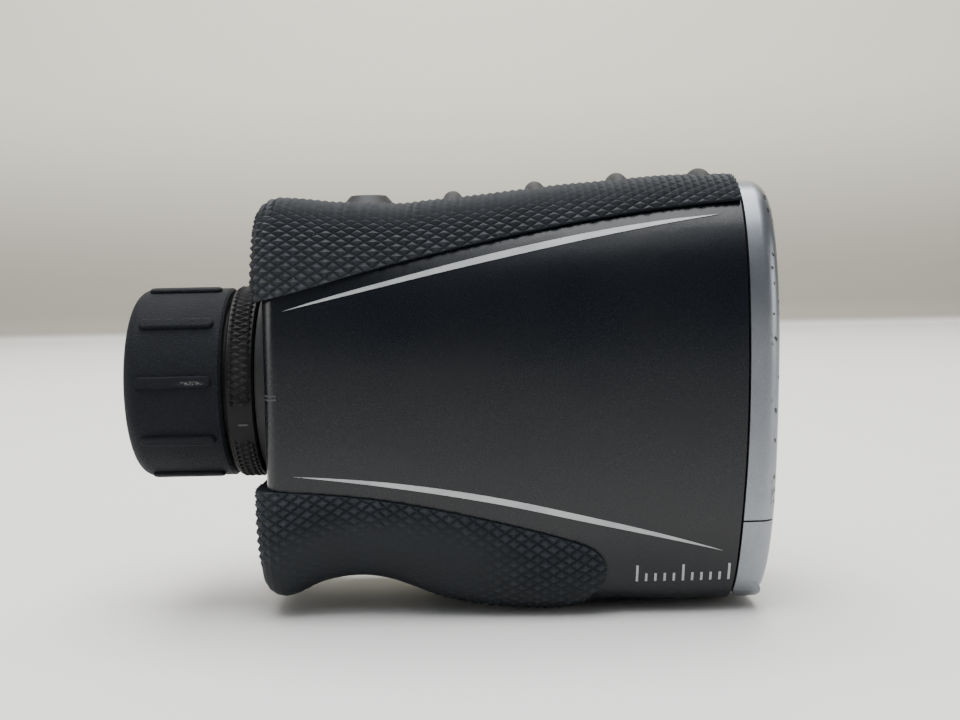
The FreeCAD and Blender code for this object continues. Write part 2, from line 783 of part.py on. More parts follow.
def eyecup():
    """Soft cup: a straight barrel, a rounded rear rim and a dished mouth."""
    start = Vector(cup_front, 0, eyepiece_z + sleeve_outer)
    points = [(cup_front, cup_radius - 0.5), (cup_front - 0.5, cup_radius), (cup_rear + 3.0, cup_radius)]
    chain = [start] + [Vector(x, 0, eyepiece_z + r) for x, r in points]
    edges = [Part.makeLine(a, b) for a, b in zip(chain, chain[1:])]
    rim_out = Vector(cup_rear, 0, eyepiece_z + cup_rim_radius - 1.0)
    rim_mid = Vector(cup_rear + 0.75, 0, eyepiece_z + cup_radius - 0.95)
    edges.append(Part.Arc(chain[-1], rim_mid, rim_out).toShape())
    dish = [(cup_rear, cup_rim_radius - 2.0), (cup_rear + 1.0, cup_rim_radius - 3.0),
            (cup_floor - 1.9, cup_mouth), (cup_floor - 1.0, cup_mouth), (cup_floor - 1.0, sleeve_outer)]
    chain = [rim_out] + [Vector(x, 0, eyepiece_z + r) for x, r in dish] + [start]
    edges += [Part.makeLine(a, b) for a, b in zip(chain, chain[1:])]
    shape = Part.Face(Part.Wire(edges)).revolve(Vector(0, 0, eyepiece_z), Vector(1, 0, 0), 360)
    for angle in spread(cup_rib_count, cup_rib_first - 90.0):
        shape = shape.fuse(about_x(cup_rib(), angle, eyepiece_z))
    return shape


def cup_rib():
    """One grip rib along the top of the cup, with round ends."""
    half_w = cup_rib_width / 2
    z0 = eyepiece_z + cup_radius - 0.5
    z1 = eyepiece_z + cup_radius + cup_rib_height
    bar = box(cup_rib_rear + half_w, cup_rib_front - half_w, -half_w, half_w, z0, z1)
    for x in (cup_rib_rear + half_w, cup_rib_front - half_w):
        bar = bar.fuse(post(half_w, z0, z1, x))
    bar = bar.removeSplitter()
    edges = [e for e in bar.Edges if e.BoundBox.ZMin > z1 - 1e-3]
    return bar.makeFillet(cup_rib_height * 0.7, edges)


# ---------------------------------------------------------------- controls


def fire_button():
    """A short cone on a stem, held in by a flange below the shell."""
    base = fire_z - fire_sunk
    shoulder = fire_z + fire_straight
    top = fire_z + fire_height
    under = fire_z - grip_proud - wall
    cap = Part.makeCone(fire_base_radius, fire_top_radius, top - shoulder, Vector(fire_x, 0, shoulder))
    cap = cap.fuse(post(fire_base_radius, base, shoulder, fire_x))
    edges = [e for e in cap.Edges if abs(e.BoundBox.ZMin - top) < 1e-3]
    cap = cap.makeFillet(0.5, edges)
    stem = post(fire_stem_radius, under - 2.6, base, fire_x)
    flange = post(fire_stem_radius + 1.2, under - 1.1, under - 0.3, fire_x)
    return cap.fuse(stem).fuse(flange)


fire_switch_top = fire_z - grip_proud - wall - 2.6 - fire_travel - 0.05


def fire_switch():
    return box(fire_x - 2.2, fire_x + 2.2, -2.2, 2.2, fire_switch_top - 1.4, fire_switch_top)


def fire_board():
    z = fire_switch_top - 1.4
    return box(fire_x - 7.0, fire_x + 7.0, -7.0, 7.0, z - 0.8, z)


def side_button(x):
    cap = cross_rod(side_button_radius, side_y - wall, side_y + side_button_proud, x, side_button_z)
    edges = [e for e in cap.Edges if abs(e.BoundBox.YMin - side_y - side_button_proud) < 1e-3]
    cap = cap.makeFillet(0.8, edges)
    under = side_y - wall - 0.5
    flange = cross_rod(side_button_radius + 0.9, under - 0.8, under, x, side_button_z)
    neck = cross_rod(side_button_radius, under, side_y - wall, x, side_button_z)
    stem = cross_rod(1.4, side_switch_y + side_travel + 0.05, under - 0.8, x, side_button_z)
    return cap.fuse(neck).fuse(flange).fuse(stem)


side_switch_y = board_y + 1.2 + 1.6


def side_switches():
    shapes = []
    for x, name in side_buttons:
        shapes.append(box(x - 2.2, x + 2.2, board_y + 1.2, side_switch_y, side_button_z - 2.2,
                          side_button_z + 2.2))
    return group(shapes)


# ---------------------------------------------------------------- power and fixings

cell_rear = cell_front - cell_length
tray_rear = cell_rear - 3.0


def battery_tray():
    """Two open-ended tubes and the web between them."""
    shapes = []
    for side in (-1, 1):
        shapes.append(rod(cell_radius + cell_play + tray_wall, tray_rear, frame_rear, side * cell_y, cell_z))
    web = box(tray_rear, frame_rear, -cell_y, cell_y, cell_z + 2.0, cell_z + 3.0)
    shape = shapes[0].fuse(shapes[1]).fuse(web)
    shape = shape.common(form(wall + joint_gap, body_rear + wall))
    for side in (-1, 1):
        shape = shape.cut(rod(cell_radius + cell_play, tray_rear + tray_wall, far, side * cell_y, cell_z))
    return shape


def cells():
    shapes = []
    for side in (-1, 1):
        can = rod(cell_radius, cell_rear, cell_front - 1.0, side * cell_y, cell_z)
        shapes.append(can.fuse(rod(1.9, cell_rear, cell_front, side * cell_y, cell_z)))
    return group(shapes)


def rear_contacts():
    shapes = []
    for side in (-1, 1):
        shapes.append(turned([(tray_rear + tray_wall, 0), (tray_rear + tray_wall, 3.6),
                              (tray_rear + tray_wall + 0.5, 3.6), (cell_rear, 1.6), (cell_rear, 0)],
                             cell_z, side * cell_y))
    return group(shapes)


def tripod_bush():
    shape = post(bush_radius, 0, bush_length).fuse(
        post(bush_flange_radius, bush_length - bush_flange, bush_length))
    return shape.cut(post(thread_radius, -1, bush_length - 1.0))


def strap_bar():
    reach = strap_slot_width / 2 + wall - 0.6
    return cross_rod(strap_bar_radius, -reach, reach, strap_x, strap_z)


case_screws_at = [(-46.6, 33.0), (-46.6, 57.0), (27.0, 21.3)]
case_head_depth = 0.4        # screw head below the shell's surface


def case_screw_y(x):
    return half_width(x) - case_head_depth


def case_bosses(cover, side):
    """Screw bosses across the shell, and the counterbored holes through them."""
    room = form(wall - 0.5, body_rear + wall - 0.5)
    for x, z in case_screws_at:
        boss = cross_rod(screw_radius + 1.5, -far, far, x, z).common(room).common(half(side))
        cover = cover.fuse(boss)
    for x, z in case_screws_at:
        head_y = case_screw_y(x)
        cover = cover.cut(cross_rod(screw_head_radius + joint_gap, head_y - screw_head_height, far, x, z))
        cover = cover.cut(cross_rod(screw_radius, -case_screw_reach, far, x, z))
    return cover


case_screw_reach = 6.0


def case_screws():
    shapes = []
    for x, z in case_screws_at:
        y = case_screw_y(x)
        shapes.append(aimed(screw(y + case_screw_reach), Vector(x, y, z), Vector(0, 1, 0)))
    return group(shapes)


# ---------------------------------------------------------------- output


def main():
    os.makedirs("parts", exist_ok=True)
    whole = shell()
    export("right_cover", case_bosses(whole.common(half(-1)), -1))
    export("left_cover", case_bosses(whole.common(half(1)), 1))
    export("top_grip", top_grip())
    export("bottom_grip", bottom_grip())
    for side, word in ((-1, "right"), (1, "left")):
        export("upper_stripe_" + word, stripes(upper_stripe, side))
        export("lower_stripe_" + word, stripes(lower_stripe, side))
    block = nose()
    export("front_bezel", bezel(block))
    export("battery_door", door(block))
    export("door_hinge_pins", hinge_pins())
    export("door_contacts", door_contacts())
    export("door_seal", door_seal())
    export("front_frame", front_frame())
    export("bezel_screws", bezel_screws())
    for name, y, z, radius in front_lenses:
        export(name + "_lens", front_lens(y, z, radius))
        export(name + "_retainer", front_retainer(y, z, radius))
    export("sight_barrel", sight_barrel())
    export("receive_barrel", receive_barrel())
    export("prism_housing", prism_housing())
    export("prisms", prisms())
    export("display_frame", display())
    export("display_glass", display_glass())
    export("laser_module", laser_module())
    export("detector", detector())
    export("receiver_board", receiver_board())
    export("main_board", main_board())
    export("board_chips", board_chips())
    export("eyepiece_tube", eyepiece_tube())
    export("diopter_ring", diopter_ring())
    export("ring_clip", ring_clip())
    export("lens_cell", lens_cell())
    export("focus_pins", focus_pins())
    export("eye_lens", eye_lens())
    export("eye_retainer", eye_retainer())
    export("field_lens", field_lens())
    export("cup_guide", cup_guide())
    export("cup_sleeve", cup_sleeve())
    export("eyecup", eyecup())
    export("fire_button", fire_button())
    export("fire_switch", fire_switch())
    export("fire_board", fire_board())
    for x, name in side_buttons:
        export(name, side_button(x))
    export("side_switches", side_switches())
    export("battery_tray", battery_tray())
    export("battery_cells", cells())
    export("rear_contacts", rear_contacts())
    export("tripod_bush", tripod_bush())
    export("strap_bar", strap_bar())
    export("case_screws", case_screws())


main()
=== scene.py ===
import math
import random

import bpy
from mathutils import Matrix, Vector
from mathutils.bvhtree import BVHTree


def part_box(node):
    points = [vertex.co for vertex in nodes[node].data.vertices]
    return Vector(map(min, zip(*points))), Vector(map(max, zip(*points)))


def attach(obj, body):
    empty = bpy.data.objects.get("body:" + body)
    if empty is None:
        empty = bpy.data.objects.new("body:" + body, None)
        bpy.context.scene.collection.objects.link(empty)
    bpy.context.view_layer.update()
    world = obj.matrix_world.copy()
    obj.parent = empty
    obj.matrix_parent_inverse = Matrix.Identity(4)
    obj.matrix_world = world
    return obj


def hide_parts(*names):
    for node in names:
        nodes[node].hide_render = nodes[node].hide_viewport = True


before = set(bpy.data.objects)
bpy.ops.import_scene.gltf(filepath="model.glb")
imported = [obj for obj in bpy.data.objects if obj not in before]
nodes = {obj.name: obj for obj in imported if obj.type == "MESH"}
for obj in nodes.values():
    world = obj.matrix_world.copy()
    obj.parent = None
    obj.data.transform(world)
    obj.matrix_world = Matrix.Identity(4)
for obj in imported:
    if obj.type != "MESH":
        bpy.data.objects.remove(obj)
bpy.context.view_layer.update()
mm = 0.001
print("frame loaded:", len(nodes), "nodes")


# shader sockets that can be used in sums, so that a mask reads like a formula
class Wire:
    def __init__(self, shade, socket):
        self.shade = shade
        self.socket = socket

    def do(self, operation, a, b=0.0):
        return self.shade.node("ShaderNodeMath", {"operation": operation}, {0: a, 1: b})

    def __add__(self, other):
        return self.do("ADD", self, other)

    def __radd__(self, other):
        return self.do("ADD", other, self)

    def __sub__(self, other):
        return self.do("SUBTRACT", self, other)

    def __rsub__(self, other):
        return self.do("SUBTRACT", other, self)

    def __mul__(self, other):
        return self.do("MULTIPLY", self, other)

    def __rmul__(self, other):
        return self.do("MULTIPLY", other, self)

    def __truediv__(self, other):
        return self.do("DIVIDE", self, other)

    def __rtruediv__(self, other):
        return self.do("DIVIDE", other, self)

    def __pow__(self, other):
        return self.do("POWER", self, other)

    def over(self, edge):
        return self.do("GREATER_THAN", self, edge)

    def least(self, other):
        return self.do("MINIMUM", self, other)

    def most(self, other):
        return self.do("MAXIMUM", self, other)

    def rise(self, low, high):
        # 0 below low, 1 above high, smooth between
        return self.shade.node("ShaderNodeMapRange", {"interpolation_type": "SMOOTHSTEP"},
                               {"Value": self, "From Min": low, "From Max": high})


class Shade:
    def __init__(self, name, fixed):
        self.material = bpy.data.materials.new(name)
        self.material.use_nodes = True
        self.tree = self.material.node_tree
        self.surface = self.tree.nodes["Principled BSDF"]
        for socket, value in fixed.items():
            self.surface.inputs[socket].default_value = value
        self.place = self.node("ShaderNodeTexCoord", {}, {}, "Object")

    def node(self, kind, settings, values, out=0):
        made = self.tree.nodes.new(kind)
        for setting, value in settings.items():
            if setting == "stops":
                ramp = made.color_ramp
                while len(ramp.elements) < len(value):
                    ramp.elements.new(0.5)
                for element, (position, colour) in zip(ramp.elements, value):
                    element.position = position
                    element.color = colour
            else:
                setattr(made, setting, value)
        for socket, value in values.items():
            if isinstance(value, Wire):
                self.tree.links.new(value.socket, made.inputs[socket])
            else:
                made.inputs[socket].default_value = value
        return Wire(self, made.outputs[out])

    def noise(self, perMetre, detail=2.0, rough=0.5, at=None):
        return self.node("ShaderNodeTexNoise", {}, {"Vector": at or self.place, "Scale": perMetre,
                                                    "Detail": detail, "Roughness": rough})

    def cells(self, perMetre, out="Distance", feature="F1"):
        return self.node("ShaderNodeTexVoronoi", {"feature": feature},
                         {"Vector": self.place, "Scale": perMetre}, out)

    def axis(self, name):
        return self.node("ShaderNodeSeparateXYZ", {}, {"Vector": self.place}, name)

    def mix(self, factor, a, b):
        # factor 0 gives a, 1 gives b
        return self.node("ShaderNodeMix", {"data_type": "RGBA"}, {0: factor, 6: a, 7: b}, 2)

    def bump(self, height, depth, strength=1.0):
        return self.node("ShaderNodeBump", {}, {"Height": height, "Distance": depth, "Strength": strength})

    def attribute(self, name):
        return self.node("ShaderNodeAttribute", {"attribute_name": name}, {}, "Fac")

    def feed(self, **wires):
        for socket, wire in wires.items():
            self.tree.links.new(wire.socket, self.surface.inputs[socket.replace("_", " ")])
        return self.material

    def speckle(self, perMetre, share, radius):
        # round specks: one in 1/share of the cells holds one, radius in metres
        pick = self.node("ShaderNodeSeparateColor", {}, {"Color": self.cells(perMetre, "Color")}, "Red")
        near = (radius * perMetre - self.cells(perMetre)).over(0.0)
        return near * pick.over(1.0 - share)


def rgba(r, g, b):
    return (r, g, b, 1.0)


def gripRubber():
    look = {"dark": rgba(0.0035, 0.0052, 0.0078), "light": rgba(0.010, 0.013, 0.017), "grain": 5200}
    shade = Shade("gripRubber", {"Specular IOR Level": 0.28})
    cloud = shade.noise(90, 3)
    fine = shade.noise(look["grain"], 2)
    tone = shade.mix(cloud.rise(0.3, 0.75) * 0.5, look["dark"], look["light"])
    tone = shade.mix(shade.attribute("worn") * 0.5, tone, rgba(0.050, 0.058, 0.069))
    dust = shade.speckle(420, 0.05, 0.00011) + shade.speckle(900, 0.015, 0.00008)
    tone = shade.mix(dust.least(1.0) * 0.5, tone, rgba(0.32, 0.32, 0.30))
    rough = 0.52 + cloud * 0.12
    return shade.feed(Base_Color=tone, Roughness=rough, Normal=shade.bump(fine, 0.00005, 0.6))


def panelPlastic():
    look = {"base": rgba(0.0026, 0.0040, 0.0068), "lift": rgba(0.0050, 0.0058, 0.0078)}
    shade = Shade("panelPlastic", {"Specular IOR Level": 0.42})
    cloud = shade.noise(38, 2)
    fine = shade.noise(3800, 2)
    tone = shade.mix(cloud.rise(0.25, 0.8), look["base"], look["lift"])
    dust = shade.speckle(260, 0.05, 0.00009) + shade.speckle(520, 0.02, 0.00007)
    tone = shade.mix(dust.least(1.0) * 0.6, tone, rgba(0.22, 0.22, 0.21))
    rough = 0.25 + cloud * 0.05 + (fine - 0.5) * 0.05
    return shade.feed(Base_Color=tone, Roughness=rough, Normal=shade.bump(fine, 0.000018, 0.5))


def stripePaint():
    shade = Shade("stripePaint", {"Metallic": 0.25})
    cloud = shade.noise(140, 3)
    tone = shade.mix(cloud.rise(0.3, 0.7), rgba(0.36, 0.37, 0.385), rgba(0.47, 0.475, 0.48))
    nick = (shade.noise(1500, 3) - 0.71).rise(0.0, 0.03)
    tone = shade.mix(nick, tone, rgba(0.06, 0.06, 0.065))
    return shade.feed(Base_Color=tone, Roughness=0.38 + cloud * 0.1)


def bezelPaint(box):
    # silver paint, chipped through to dark plastic along its front edge
    look = {"base": rgba(0.20, 0.213, 0.235), "light": rgba(0.26, 0.273, 0.295),
            "flake": rgba(0.6, 0.62, 0.65), "bare": rgba(0.012, 0.013, 0.015),
            "edgeWidth": 0.0021, "chipSize": 0.00055}
    front = box[1].x
    shade = Shade("bezelPaint", {"Specular IOR Level": 0.5})
    flake = shade.noise(9000, 1)
    cloud = shade.noise(60, 3)
    tone = shade.mix(cloud.rise(0.3, 0.7), look["base"], look["light"])
    tone = shade.mix((flake - 0.5).rise(0.05, 0.2) * 0.25, tone, look["flake"])
    # chips sit on the outer corner strip, where x nears the front and y nears the flank
    strip = (shade.axis("X") - (front - look["edgeWidth"])).rise(-0.0006, 0.0008)
    ragged = shade.noise(650, 4, 0.7)
    small = shade.speckle(900, 0.17, look["chipSize"])
    large = shade.speckle(520, 0.10, look["chipSize"] * 1.3)
    chips = (small.most(large) * strip * ragged.over(0.43)).least(1.0)
    lone = shade.speckle(330, 0.025, 0.00035)
    chips = chips.most(lone)
    tone = shade.mix(chips, tone, look["bare"])
    rough = 0.30 + cloud * 0.06 + chips * 0.25
    metal = 0.8 - chips * 0.8
    height = flake * 0.04 - chips
    return shade.feed(Base_Color=tone, Roughness=rough, Metallic=metal,
                      Normal=shade.bump(height, 0.00006, 0.8))


def cupRubber(axisZ):
    look = {"base": rgba(0.0024, 0.0036, 0.0066), "raised": rgba(0.009, 0.0115, 0.016), "grain": 2900}
    shade = Shade("cupRubber", {"Specular IOR Level": 0.19})
    pebble = shade.noise(look["grain"], 3, 0.6)
    cloud = shade.noise(120, 3)
    tone = shade.mix(pebble.rise(0.48, 0.72), look["base"], look["raised"])
    # one scuff across the rib that faces the user's right
    x, y, z = shade.axis("X"), shade.axis("Y"), shade.axis("Z")
    away = (((x + 0.0672) / 0.0032) ** 2 + ((z - axisZ - 0.0012) / 0.0006) ** 2) ** 0.5
    scuff = (1.0 - away.rise(0.3, 1.0)) * (-0.0188 - y).over(0.0) * shade.noise(2400, 4, 0.8).rise(0.5, 0.62)
    tone = shade.mix(scuff * 0.85, tone, rgba(0.25, 0.25, 0.24))
    return shade.feed(Base_Color=tone, Roughness=0.6 + cloud * 0.12,
                      Normal=shade.bump(pebble, 0.0004, 0.9))


def hardBlack(name, grain, depth, rough, tone=0.012, gloss=0.45):
    shade = Shade(name, {"Specular IOR Level": gloss})
    fine = shade.noise(grain, 3)
    cloud = shade.noise(150, 2)
    colour = shade.mix(cloud.rise(0.3, 0.7), rgba(tone, tone, tone * 1.06),
                       rgba(tone * 1.7, tone * 1.7, tone * 1.8))
    return shade.feed(Base_Color=colour, Roughness=rough + cloud * 0.1, Normal=shade.bump(fine, depth, 0.6))


def metal(name, colour, rough, brush):
    # turned or drawn metal with fine scratches
    shade = Shade(name, {"Metallic": 1.0})
    stretched = shade.node("ShaderNodeMapping", {}, {"Vector": shade.place, "Scale": (1.0, 9.0, 9.0)})
    scratch = shade.noise(brush, 3, 0.7, stretched)
    tone = shade.mix(scratch.rise(0.35, 0.7), rgba(*[c * 0.75 for c in colour]), rgba(*colour))
    return shade.feed(Base_Color=tone, Roughness=rough + scratch * 0.15,
                      Normal=shade.bump(scratch, 0.00001, 0.5))


def coatedGlass(name, tint, film):
    # clear glass with a thin coating that throws back a colour
    shade = Shade(name, {"Transmission Weight": 1.0, "IOR": 1.52, "Thin Film Thickness": film,
                         "Thin Film IOR": 1.38})
    smear = shade.noise(110, 2)
    dust = shade.speckle(700, 0.03, 0.00006)
    tone = shade.mix(dust, rgba(*tint), rgba(0.6, 0.6, 0.6))
    return shade.feed(Base_Color=tone, Roughness=0.015 + smear.rise(0.55, 0.8) * 0.03 + dust * 0.4)


def boardLacquer():
    shade = Shade("boardLacquer", {"Coat Weight": 0.4})
    track = shade.cells(700, "Distance", "DISTANCE_TO_EDGE")
    lines = (0.06 - track).rise(0.0, 0.03)
    tone = shade.mix(lines, rgba(0.01, 0.08, 0.035), rgba(0.03, 0.17, 0.08))
    return shade.feed(Base_Color=tone, Roughness=0.3 + lines * 0.1, Normal=shade.bump(lines, 0.00003))


def cellJacket(box):
    # a plain dark jacket with a copper-coloured positive end
    shade = Shade("cellJacket", {"Coat Weight": 0.5})
    end = (shade.axis("X") - (box[1].x - 0.011)).over(0.0)
    tip = (shade.axis("X") - (box[1].x - 0.0011)).over(0.0)
    tone = shade.mix(end, rgba(0.015, 0.015, 0.018), rgba(0.35, 0.16, 0.06))
    tone = shade.mix(tip, tone, rgba(0.6, 0.6, 0.6))
    smear = shade.noise(200, 3)
    return shade.feed(Base_Color=tone, Roughness=0.25 + smear * 0.15, Metallic=0.2 + tip * 0.8)


def markPaint():
    shade = Shade("markPaint", {})
    wear = shade.noise(2500, 3)
    tone = shade.mix(wear.rise(0.6, 0.75), rgba(0.42, 0.43, 0.44), rgba(0.2, 0.2, 0.21))
    return shade.feed(Base_Color=tone, Roughness=0.45 + wear * 0.1)


looks = {
    "grip": gripRubber(),
    "panel": panelPlastic(),
    "stripe": stripePaint(),
    "bezel": bezelPaint(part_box("front_bezel")),
    "cup": cupRubber((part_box("eyepiece_tube")[0].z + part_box("eyepiece_tube")[1].z) / 2),
    "inner": hardBlack("innerBlack", 2600, 0.00005, 0.55),
    "ring": hardBlack("ringBlack", 3200, 0.00003, 0.46, 0.0028, 0.2),
    "retainer": hardBlack("retainerBlack", 4200, 0.00002, 0.3, 0.010),
    "button": hardBlack("buttonRubber", 3600, 0.00005, 0.5, 0.014, 0.35),
    "steel": metal("drawnSteel", (0.56, 0.56, 0.57), 0.28, 500),
    "plated": metal("platedSpring", (0.72, 0.68, 0.6), 0.22, 500),
    "brass": metal("turnedBrass", (0.66, 0.48, 0.22), 0.28, 420),
    "can": metal("moduleCan", (0.6, 0.57, 0.5), 0.35, 380),
    "objective": coatedGlass("objectiveGlass", (0.93, 0.97, 0.95), 330.0),
    "receiver": coatedGlass("receiverGlass", (0.9, 0.45, 0.42), 420.0),
    "eyeGlass": coatedGlass("eyeGlass", (0.95, 0.95, 0.98), 290.0),
    "board": boardLacquer(),
    "cell": cellJacket(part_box("battery_cells")),
    "mark": markPaint(),
    "dash": hardBlack("dashBlack", 3000, 0.00002, 0.4, 0.03),
}

wears = {
    "grip": ["top_grip", "bottom_grip"],
    "panel": ["right_cover", "left_cover"],
    "stripe": ["upper_stripe_right", "lower_stripe_right", "upper_stripe_left", "lower_stripe_left"],
    "bezel": ["front_bezel", "battery_door"],
    "cup": ["eyecup"],
    "inner": ["front_frame", "sight_barrel", "receive_barrel", "prism_housing", "display_frame",
              "battery_tray", "lens_cell", "cup_guide", "cup_sleeve", "eyepiece_tube", "door_seal",
              "board_chips", "fire_switch", "side_switches"],
    "ring": ["diopter_ring", "ring_clip"],
    "retainer": ["sight_retainer", "receive_retainer", "emitter_retainer", "eye_retainer"],
    "button": ["fire_button", "up_button", "down_button"],
    "steel": ["door_hinge_pins", "bezel_screws", "focus_pins", "strap_bar", "case_screws"],
    "plated": ["door_contacts", "rear_contacts"],
    "brass": ["tripod_bush"],
    "can": ["laser_module", "detector"],
    "objective": ["sight_lens", "emitter_lens"],
    "receiver": ["receive_lens"],
    "eyeGlass": ["eye_lens", "field_lens", "prisms", "display_glass"],
    "board": ["receiver_board", "main_board", "fire_board"],
    "cell": ["battery_cells"],
}


def dress(piece, look):
    piece.data.materials.clear()
    piece.data.materials.append(looks[look])


for look, names in wears.items():
    for name in names:
        dress(nodes[name], look)
print("materials made:", len(looks))


def addPiece(name, vertices, faces, look, body, smooth=False):
    mesh = bpy.data.meshes.new(name)
    mesh.from_pydata([tuple(v) for v in vertices], [], faces)
    mesh.update()
    piece = bpy.data.objects.new(name, mesh)
    bpy.context.scene.collection.objects.link(piece)
    for face in mesh.polygons:
        face.use_smooth = smooth
    dress(piece, look)
    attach(piece, body)
    return piece


def treeOf(*names):
    vertices = []
    faces = []
    for name in names:
        start = len(vertices)
        mesh = nodes[name].data
        vertices += [v.co.copy() for v in mesh.vertices]
        faces += [[start + i for i in face.vertices] for face in mesh.polygons]
    return BVHTree.FromPolygons(vertices, faces)


# the grips' knurl: diamond pyramids in an even net over the rubber
knurl = {
    "columnStep": 1.49 * mm,      # half a diamond along the body
    "rowStep": 1.04 * mm,         # half a diamond round the section
    "height": 0.58 * mm,
    "lift": 0.05 * mm,            # valley floor above the rubber's own face
    "skirt": 0.45 * mm,
    "rearRadius": 3.9 * mm,       # rounding of the grip's rear edge
    "rearColumns": 3,             # half diamonds on the rear face
    "angleStep": 1.5,
    "seed": 4,
}
waistZ = 42 * mm
gripTree = treeOf("top_grip", "bottom_grip")
coverTree = treeOf("right_cover", "left_cover")
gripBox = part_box("top_grip")
proud = 0.7 * mm                  # rubber above the covers
rayReach = 80                     # millimetres from the body's middle to the start of a ray
sideStart = -60 * mm              # start of a ray towards the right flank
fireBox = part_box("fire_button")
ridgeXs = [(-16.8 + 16.5 * i) * mm for i in range(4)]
ridgeHalf = 3.4 * mm
padRadius = 12.5 * mm
steep = 0.75                      # sine of the angle past which the face counts as top or bottom

# where the lower knurl runs out, in millimetres along the body and up
fade = {
    "scoopCentre": (-31, 10.5),   # finger scoop
    "scoopHalf": (21, 8.5),
    "scoopRim": 0.72,
    "scoopBlend": 0.62,
    "scoopLeast": 0.13,
    "footCentre": (-54, 5.5),
    "footHalf": (5.5, 5.0),
    "footRim": 0.9,
    "footGain": 2.0,
    "padTop": 4,
    "padRim": 11.5,
    "padBlend": 3.0,
    "groundRim": 0.3,
    "groundBlend": 1.5,
}


def skinPoint(x, degrees):
    # the body's outer face at this station and angle, as if the rubber went all round;
    # both sides are read on the right one, which has no buttons or screws
    a = math.radians(degrees)
    way = Vector((0, -abs(math.cos(a)), math.sin(a)))
    start = Vector((x, 0, waistZ)) + way * rayReach * mm
    grip = gripTree.ray_cast(start, -way)
    cover = coverTree.ray_cast(start, -way)
    if grip[0] is not None and (cover[0] is None or grip[3] <= cover[3] + 0.02 * mm):
        point = grip[0]
    elif cover[0] is not None:
        point = cover[0] + cover[1] * proud
    else:
        return None
    return Vector((point.x, math.copysign(point.y, math.cos(a)), point.z))


def plainSkin(x, degrees):
    # nothing stands on the grip or is let into it here
    high = math.sin(math.radians(degrees))
    if high > steep:
        if any(abs(x - ridge) < ridgeHalf for ridge in ridgeXs):
            return False
        if fireBox[0].x - 1 * mm < x < fireBox[1].x + 1 * mm:
            return False
    if high < -steep:
        reach = waistZ * abs(math.cos(math.radians(degrees)) / high)
        return math.hypot(x, reach) > padRadius
    return True


class Skin:
    # sections of the body, with the places that something covers filled in from both sides
    def __init__(self, startAngle, endAngle):
        steps = round(abs(endAngle - startAngle) / knurl["angleStep"])
        self.angles = [startAngle + (endAngle - startAngle) * i / steps for i in range(steps + 1)]
        first = gripBox[0].x + knurl["rearRadius"] + 0.3 * mm
        last = gripBox[1].x - 3.5 * mm
        count = round((last - first) / mm)
        self.xs = [first + (last - first) * i / count for i in range(count + 1)]
        self.rows = []
        for x in self.xs:
            self.rows.append([skinPoint(x, a) if plainSkin(x, a) else None for a in self.angles])
        for j in range(steps + 1):
            known = [i for i in range(count + 1) if self.rows[i][j] is not None]
            for i in range(count + 1):
                if self.rows[i][j] is None:
                    before = max([k for k in known if k < i], default=known[0])
                    after = min([k for k in known if k > i], default=known[-1])
                    t = (i - before) / max(after - before, 1)
                    self.rows[i][j] = self.rows[before][j].lerp(self.rows[after][j], min(max(t, 0.0), 1.0))

    def section(self, x):
        k = 0
        while k < len(self.xs) - 2 and self.xs[k + 1] < x:
            k += 1
        t = (x - self.xs[k]) / (self.xs[k + 1] - self.xs[k])
        line = []
        for a, b in zip(self.rows[k], self.rows[k + 1]):
            p = a.lerp(b, t)
            p.x = x
            line.append(p)
        return line


def evenly(line, count):
    # count + 1 points at equal steps along a line of points
    lengths = [0.0]
    for a, b in zip(line, line[1:]):
        lengths.append(lengths[-1] + (b - a).length)
    points = []
    k = 0
    for i in range(count + 1):
        want = lengths[-1] * i / count
        while k < len(line) - 2 and lengths[k + 1] < want:
            k += 1
        span = max(lengths[k + 1] - lengths[k], 1e-9)
        points.append(line[k].lerp(line[k + 1], (want - lengths[k]) / span))
    return points


def sideNormals(points, turn):
    normals = []
    for j in range(len(points)):
        along = points[min(j + 1, len(points) - 1)] - points[max(j - 1, 0)]
        normals.append(Vector((0, -along.z, along.y)).normalized() * turn)
    return normals


def onGrip(point, normal):
    above, reach = 2.4, 3.4           # millimetres
    hit = gripTree.ray_cast(point + normal * above * mm, -normal, reach * mm)
    return hit[0] is not None


def within(value, least=0.0):
    return min(max(value, least), 1.0)


def knurlHeight(point, low):
    # full height everywhere, less in the finger scoop, on the foot and round the tripod pad
    if not low:
        return 1.0
    x, y, z = point.x / mm, point.y / mm, point.z / mm

    def away(centre, half):
        return math.hypot((x - centre[0]) / half[0], (z - centre[1]) / half[1])

    scoop = (away(fade["scoopCentre"], fade["scoopHalf"]) - fade["scoopRim"]) / fade["scoopBlend"]
    foot = (away(fade["footCentre"], fade["footHalf"]) - fade["footRim"]) * fade["footGain"]
    pad = (math.hypot(x, y) - fade["padRim"]) / fade["padBlend"] if z < fade["padTop"] else 1.0
    ground = (z - fade["groundRim"]) / fade["groundBlend"]
    return within(scoop, fade["scoopLeast"]) * within(foot) * within(pad) * within(ground)


